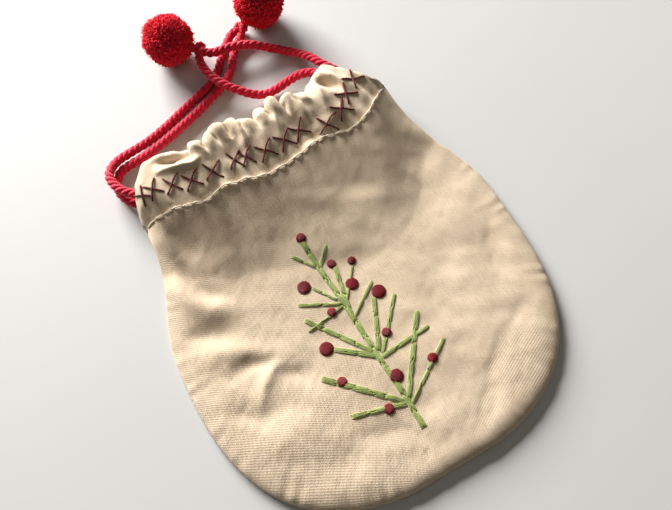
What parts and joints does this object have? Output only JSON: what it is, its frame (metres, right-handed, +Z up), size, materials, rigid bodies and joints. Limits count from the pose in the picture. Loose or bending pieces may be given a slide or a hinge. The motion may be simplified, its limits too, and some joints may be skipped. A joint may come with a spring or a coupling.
{
  "type": "drawstring gift pouch",
  "caption": "Flat-lying canvas gift pouch with a rounded bottom, a gathered band closed by two drawcords with pom-pom ends, and a stitched sprig on the front.",
  "frame": {"origin": "on the surface that the pouch lies on, under the middle of its bounding box without the free cord ends and pom-poms", "axes": "+X across the mouth to the right, +Y from the rounded bottom to the mouth, +Z up out of the front"},
  "size_m": [0.15, 0.23, 0.022],
  "materials": {
    "canvas": "plain woven natural cotton canvas, matt",
    "cream_thread": "spun sewing thread",
    "cord_yarn": "twisted soft cord",
    "pompom_yarn": "clipped fluffy yarn",
    "stitch_thread": "stranded embroidery thread",
    "green_thread": "glossy embroidery thread",
    "berry_thread": "glossy embroidery thread"
  },
  "bodies": {
    "back": {"back_panel": "canvas", "seam_allowance": "canvas", "seam_thread": "cream_thread", "overlock_thread": "cream_thread", "back_casing": "canvas", "back_hem_thread": "cream_thread", "left_cord_back_run": "cord_yarn", "right_cord_back_run": "cord_yarn"},
    "front": {"front_panel": "canvas", "front_casing": "canvas", "front_hem_thread": "cream_thread", "cross_stitch_thread": "stitch_thread", "sprig_embroidery": "green_thread", "berry_01": "berry_thread", "berry_02": "berry_thread", "berry_03": "berry_thread", "berry_04": "berry_thread", "berry_05": "berry_thread", "berry_06": "berry_thread", "berry_07": "berry_thread", "berry_08": "berry_thread", "berry_09": "berry_thread", "berry_10": "berry_thread", "berry_11": "berry_thread", "berry_12": "berry_thread", "berry_13": "berry_thread", "left_cord_front_run": "cord_yarn", "right_cord_front_run": "cord_yarn"},
    "left_cord": {"left_cord_upper_tail": "cord_yarn", "left_cord_lower_tail": "cord_yarn", "left_cord_knot": "cord_yarn"},
    "right_cord": {"right_cord_upper_tail": "cord_yarn", "right_cord_lower_tail": "cord_yarn", "right_cord_knot": "cord_yarn"},
    "left_cord_pompom": {"left_cord_pompom": "pompom_yarn"},
    "right_cord_pompom": {"right_cord_pompom": "pompom_yarn"}
  },
  "joints": [
    {"name": "mouth_open", "type": "hinge", "parent": "back", "child": "front", "pos_m": [0, -0.088, 0.001], "axis": [1, 0, 0], "range_deg": [0, 12]},
    {"name": "left_cord_pull", "type": "slide", "parent": "back", "child": "left_cord", "axis": [-0.8, 0.6, 0], "range_m": [0, 0.005]},
    {"name": "right_cord_pull", "type": "slide", "parent": "back", "child": "right_cord", "axis": [-0.5547, 0.8321, 0], "range_m": [0, 0.005]},
    {"name": "left_cord_pompom_swing", "type": "hinge", "parent": "left_cord", "child": "left_cord_pompom", "pos_m": [0.0175, 0.1262, 0.0033], "axis": [0, 0, 1], "range_deg": [-20, 20]},
    {"name": "right_cord_pompom_swing", "type": "hinge", "parent": "right_cord", "child": "right_cord_pompom", "pos_m": [-0.0046, 0.1227, 0.0065], "axis": [0, 0, 1], "range_deg": [-20, 20]}
  ]
}
